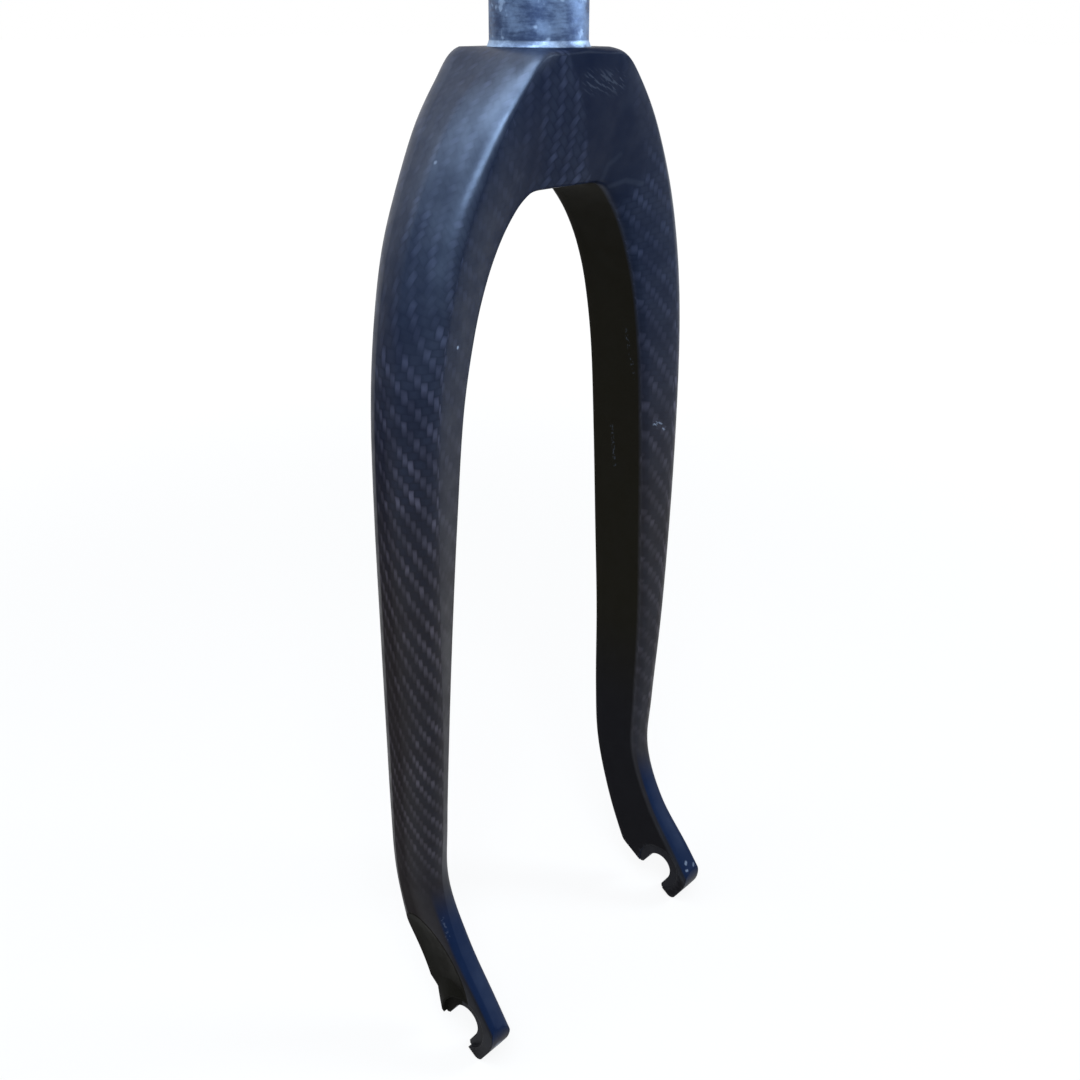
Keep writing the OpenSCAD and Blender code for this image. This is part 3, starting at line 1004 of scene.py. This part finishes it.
def carbonFinish():
    material, tree, shader = startMaterial("satinCarbon")
    look = carbonLook
    position = objectPlace(tree)
    z = splitAxes(tree, position)[2]
    facing = splitAxes(tree, newNode(tree, "ShaderNodeNewGeometry").outputs["Normal"])
    inside = pointLevel(tree, "innerFace")
    dish = dishMask(tree, position)
    bright, dull = weaveMasks(tree, position)
    cross = calc(tree, "MULTIPLY", dull, look["crossTowShare"])

    def pastHeight(name, toLow=0.0, toHigh=1.0):
        start, end = look[name]
        return mapRange(tree, z, start * mm, end * mm, toLow, toHigh)

    low = pastHeight("legHeights")
    plain = blendColour(tree, low, look["crown"], look["legs"])
    plain = blendColour(tree, pastHeight("endFaceHeights"), plain, look["endFaces"])
    # Painted reflection: the fork ends' faces that look forward are painted navy
    ahead = mapRange(tree, facing[1], -0.35, -0.7)
    paintedEndFrontReflection = product(tree, pastHeight("endFrontHeights"), ahead, pastHeight("endTipHeights", 0.2, 1.0))
    plain = blendColour(tree, paintedEndFrontReflection, plain, look["endFrontsPaintedReflection"])
    towColour = blendColour(tree, low, look["crownTows"], look["legTows"])
    colour = blendColour(tree, bright, plain, towColour)
    crossColour = blendColour(tree, low, look["crownCrossTows"], look["legCrossTows"])
    colour = blendColour(tree, cross, colour, crossColour)
    # Painted shade on the inner faces between the legs
    innerPaintedShade = blendColour(tree, pastHeight("innerHeights"), look["innerUpperPaintedShade"], look["innerLowerPaintedShade"])
    colour = blendColour(tree, inside, colour, innerPaintedShade)
    colour = blendColour(tree, dish, colour, look["dishes"])
    # Wear, and painted highlights on the resin creases and the near tip
    colour = blendColour(tree, wearAndHighlightMask(tree, position, facing, ahead, inside), colour, look["wearAndHighlight"])
    feed(tree, shader, "Base Color", colour)

    relief = calc(tree, "ADD", bright, cross)
    relief = calc(tree, "MULTIPLY_ADD", noise(tree, position, 900, 3), look["grainShare"], relief)
    bump = addBump(tree, shader, relief, look["bumpStrength"], look["bumpHeight"] * mm)
    edge = newNode(tree, "ShaderNodeBevel", samples=6)
    feed(tree, edge, "Radius", look["edgeSoftness"] * mm)
    feed(tree, bump, "Normal", edge.outputs[0])

    gloss = pointLevel(tree, "gloss")
    rough = mapRange(tree, noise(tree, position, 160, 4), 0.3, 0.7, *look["roughness"])
    feed(tree, shader, "Roughness", calc(tree, "MULTIPLY_ADD", gloss, -0.05, rough))
    # The cut faces carry no gloss of their own, and the dishes are matt
    cutFaces = oneMinus(tree, pointLevel(tree, "moulded"))
    gloss = calc(tree, "MULTIPLY_ADD", cutFaces, look["cutFaceGloss"], gloss)
    matt = calc(tree, "MAXIMUM", calc(tree, "MULTIPLY", dish, look["dishMatt"]),
                calc(tree, "MULTIPLY", paintedEndFrontReflection, look["endFrontMatt"]))
    blotches = mapRange(tree, noise(tree, position, 170, 4), 0.3, 0.7, *look["blotches"])
    # The socket's own value is what the export falls back to
    shader.inputs["Specular IOR Level"].default_value = 0.1
    feed(tree, shader, "Specular IOR Level", product(tree, gloss, oneMinus(tree, matt), blotches, 0.5))
    feed(tree, shader, "Specular Tint", look["specularTint"])
    return material


# Painted reflection: the aluminium's colours carry the blue of the sky it reflects; the mottle and spots
# are the metal's own
aluminiumLook = {
    "dark": rgb(0.027, 0.044, 0.095),
    "light": rgb(0.105, 0.158, 0.265),
    "spots": rgb(0.23, 0.32, 0.47),
    "spotShare": 0.6,
    # Painted highlight on the foot's rim
    "foot": rgb(0.26, 0.35, 0.49),
    "footHeights": (2.0, 1.5),
    "roughness": (0.46, 0.62),
    "bumpStrength": 0.35,
    "bumpHeight": 0.04,
}


def steererFinish():
    material, tree, shader = startMaterial("rawAluminium")
    look = aluminiumLook
    position = objectPlace(tree)
    patches = noise(tree, stretch(tree, position, (1, 1, 1.4)), 105, 5, 0.6)
    streaks = noise(tree, stretch(tree, position, (1, 1, 6)), 240, 4, 0.6)
    mottle = calc(tree, "MULTIPLY_ADD", patches, 0.8, calc(tree, "MULTIPLY", streaks, 0.2))
    colour = blendColour(tree, mapRange(tree, mottle, 0.38, 0.62), look["dark"], look["light"])
    spots = mapRange(tree, noise(tree, position, 260, 2), 0.62, 0.72)
    colour = blendColour(tree, calc(tree, "MULTIPLY", spots, look["spotShare"]), colour, look["spots"])
    # The foot's rim gets a painted highlight, lighter where the patches are
    footTop, footFull = look["footHeights"]
    foot = mapRange(tree, splitAxes(tree, position)[2], footTop * mm, footFull * mm)
    foot = calc(tree, "MULTIPLY", foot, mapRange(tree, patches, 0.35, 0.6, 0.2, 1.0))
    feed(tree, shader, "Base Color", blendColour(tree, foot, colour, look["foot"]))
    feed(tree, shader, "Metallic", 1.0)
    feed(tree, shader, "Roughness", mapRange(tree, streaks, 0.35, 0.65, *look["roughness"]))
    lines = noise(tree, stretch(tree, position, (0.4, 0.4, 22)), 400, 3)
    relief = calc(tree, "MULTIPLY_ADD", patches, 1.5, lines)
    addBump(tree, shader, relief, look["bumpStrength"], look["bumpHeight"] * mm)
    return material


# Studio. Lamps are given by name, place, aim and size in metres, and power in watts.
studio = {
    "lampColour": (0.80, 0.90, 1.0),
    "lamps": [
        ("frontWindow", (-0.64, -0.62, 0.72), (0, 0, -0.05), (0.5, 0.5), 10.5),
        ("topWindow", (-0.38, -0.02, 0.92), (-0.03, 0, -0.02), (0.8, 0.7), 9.0),
        ("rearSky", (-0.62, 0.80, 0.80), (0, 0, -0.05), (0.9, 0.7), 5.0),
        ("sideFill", (0.80, -0.68, 0.42), (0, 0, -0.25), (0.4, 0.4), 10.5),
    ],
    "worldLight": rgb(0.25, 0.25, 0.25),
    "floorColour": rgb(0.9, 0.9, 0.9),
    "floorSize": 30,
    "shadowTint": rgb(0.10, 0.10, 0.10),
    # How bright the seen floor is, at two distances from the middle
    "glowReach": (0.3, 1.2),
    "floorGlow": (0.86, 0.99),
}

camera = {
    "place": (-285.67 * mm, -251.91 * mm, 8.87 * mm),
    "ahead": (0.70374, 0.61505, -0.35562),
    "right": (0.65904, -0.75210, 0.00341),
    "lens": 41.857,
    "sensor": 36.0,
    "shift": (-0.0029, -0.0453),
}


def seenRays(tree):
    # 1 for rays from the camera and for those that metal and gloss send back
    rays = newNode(tree, "ShaderNodeLightPath").outputs
    bent = calc(tree, "MAXIMUM", rays["Is Glossy Ray"], rays["Is Transmission Ray"])
    return calc(tree, "MAXIMUM", rays["Is Camera Ray"], bent)


def floorFinish():
    material, tree, shader = startMaterial("paleFloor")
    feed(tree, shader, "Base Color", studio["floorColour"])
    feed(tree, shader, "Roughness", 0.9)
    feed(tree, shader, "Specular IOR Level", 0.1)
    # Seen by the camera or in a reflection it is white, apart from the fork's soft shadow
    away = vectorMath(tree, "LENGTH", objectPlace(tree))
    glow = newNode(tree, "ShaderNodeEmission")
    feed(tree, glow, "Strength", mapRange(tree, away, *studio["glowReach"], *studio["floorGlow"]))
    faint = newNode(tree, "ShaderNodeBsdfDiffuse")
    feed(tree, faint, "Color", studio["shadowTint"])
    both = newNode(tree, "ShaderNodeAddShader")
    feed(tree, both, 0, glow.outputs[0])
    feed(tree, both, 1, faint.outputs[0])
    mix = newNode(tree, "ShaderNodeMixShader")
    feed(tree, mix, 0, seenRays(tree))
    feed(tree, mix, 1, shader.outputs[0])
    feed(tree, mix, 2, both.outputs[0])
    feed(tree, tree.nodes["Material Output"], "Surface", mix.outputs[0])
    return material


def addLamp(name, place, target, size, power):
    data = bpy.data.lights.new(name, "AREA")
    data.shape = "RECTANGLE"
    data.size, data.size_y = size
    data.energy = power
    data.color = studio["lampColour"]
    lamp = addObject(name, data)
    lamp.location = place
    lamp.rotation_euler = (Vector(target) - Vector(place)).to_track_quat("-Z", "Y").to_euler()


def makeCamera():
    data = bpy.data.cameras.new("photoCamera")
    data.sensor_fit = "HORIZONTAL"
    data.sensor_width = camera["sensor"]
    data.lens = camera["lens"]
    data.shift_x, data.shift_y = camera["shift"]
    data.clip_start = 0.01
    made = addObject("photoCamera", data)
    right, ahead = Vector(camera["right"]).normalized(), Vector(camera["ahead"]).normalized()
    up = right.cross(ahead).normalized()
    turn = Matrix((right, up, -ahead)).transposed().to_4x4()
    made.matrix_world = Matrix.Translation(camera["place"]) @ turn
    bpy.context.scene.camera = made


def makeStudio():
    world = bpy.data.worlds.new("studioWorld")
    bpy.context.scene.world = world
    world.use_nodes = True
    tree = world.node_tree
    background = tree.nodes["Background"]
    feed(tree, background, "Strength", 1.0)
    white = blendColour(tree, seenRays(tree), studio["worldLight"], rgb(1, 1, 1))
    feed(tree, background, "Color", white)
    for lamp in studio["lamps"]:
        addLamp(*lamp)
    low = cadLow.z - 0.5 * mm
    bpy.ops.mesh.primitive_plane_add(size=studio["floorSize"], location=(0, 0, low))
    floor = bpy.context.object
    floor.name = "paleFloor"
    floor.data.materials.append(floorFinish())


makeCamera()
print("camera set")
makeStudio()
print("studio set")

body = makeForkBody(carbonFinish())
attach(body, "root")
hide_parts("fork_body")
print("carbon body:", len(body.data.polygons), "faces")

tube = makeSteererTube(steererFinish())
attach(tube, "root")
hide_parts("steerer_tube")
print("steerer tube:", len(tube.data.polygons), "faces")

bpy.context.scene.view_settings.view_transform = "Standard"
bpy.context.view_layer.update()
